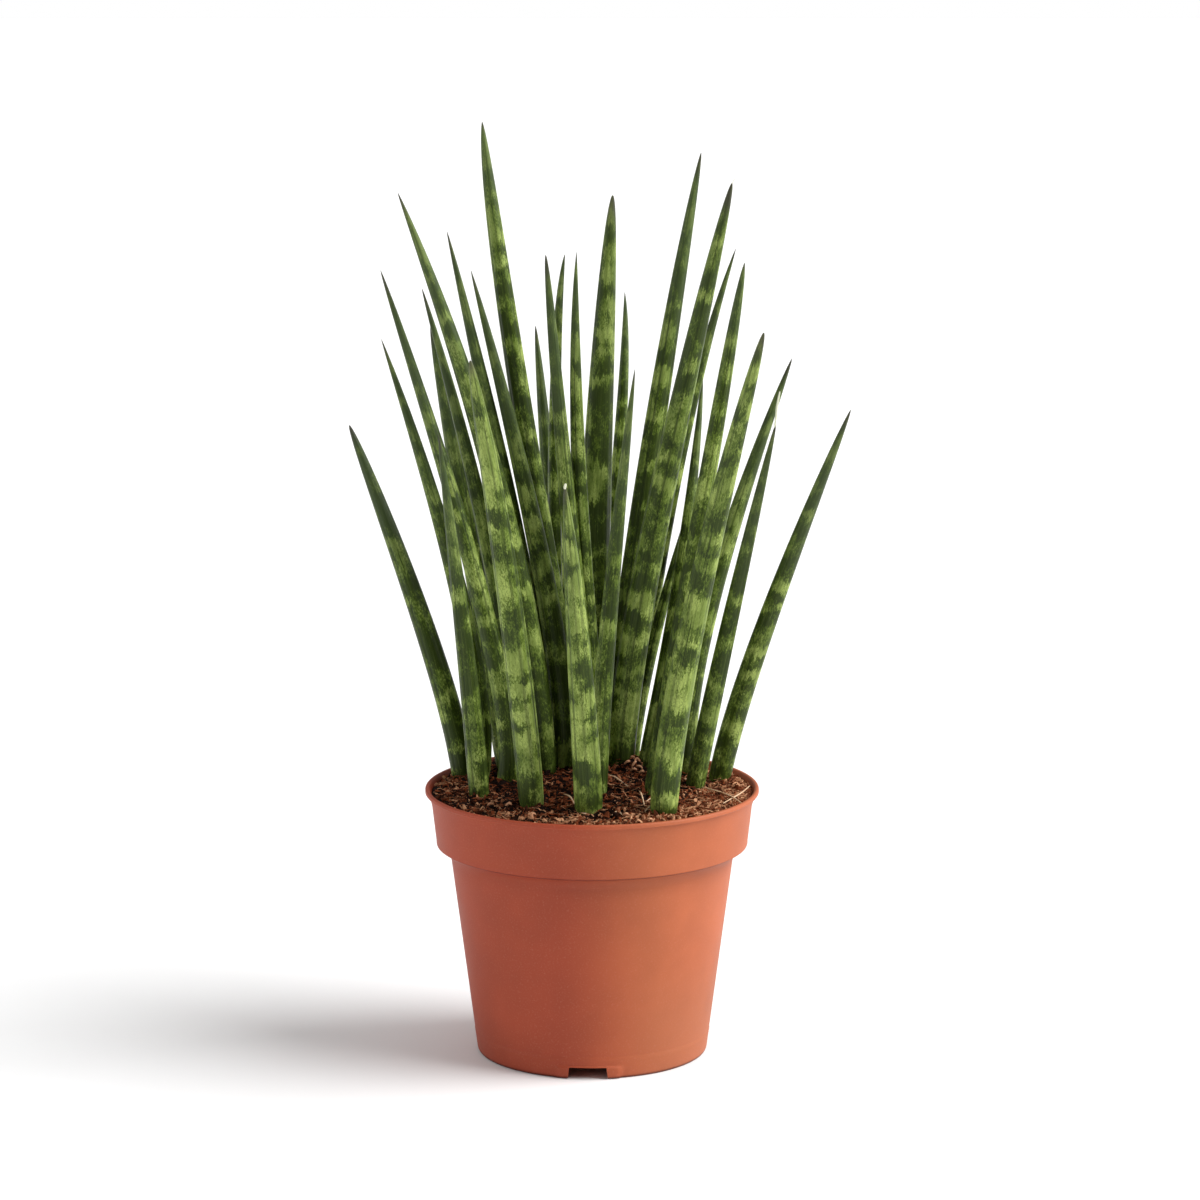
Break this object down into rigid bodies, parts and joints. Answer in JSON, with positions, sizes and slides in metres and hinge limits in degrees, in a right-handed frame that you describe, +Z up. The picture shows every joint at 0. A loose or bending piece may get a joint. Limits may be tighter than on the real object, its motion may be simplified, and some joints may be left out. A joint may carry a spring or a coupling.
{
  "type": "potted cylindrical snake plant",
  "caption": "Potted succulent: a spreading sheaf of stiff, round, pointed leaves with banded green skin, in coir mix in a plastic nursery pot with a tall collar.",
  "frame": {"origin": "on the pot's axis, at the level that the pot stands on", "axes": "+Z up along the pot's axis, -Y towards the front, +X to the right as seen from the front"},
  "size_m": [0.178, 0.16, 0.332],
  "materials": {
    "pot": "satin terracotta-coloured polypropylene, faintly mottled",
    "soil": "rough, damp, crumbly coir and peat with pale fibres",
    "leaf": "waxy satin green skin with jagged dark cross-bands and fine lengthwise grooves"
  },
  "bodies": {
    "root": {"pot": "pot", "soil": "soil", "leaf_01": "leaf", "leaf_02": "leaf", "leaf_03": "leaf", "leaf_04": "leaf", "leaf_05": "leaf", "leaf_06": "leaf", "leaf_07": "leaf", "leaf_08": "leaf", "leaf_09": "leaf", "leaf_10": "leaf", "leaf_11": "leaf", "leaf_12": "leaf", "leaf_13": "leaf", "leaf_14": "leaf", "leaf_15": "leaf", "leaf_16": "leaf", "leaf_17": "leaf", "leaf_18": "leaf", "leaf_19": "leaf", "leaf_20": "leaf", "leaf_21": "leaf", "leaf_22": "leaf", "leaf_23": "leaf", "leaf_24": "leaf", "leaf_25": "leaf", "leaf_26": "leaf", "leaf_27": "leaf", "leaf_28": "leaf", "leaf_29": "leaf"}
  },
  "joints": []
}
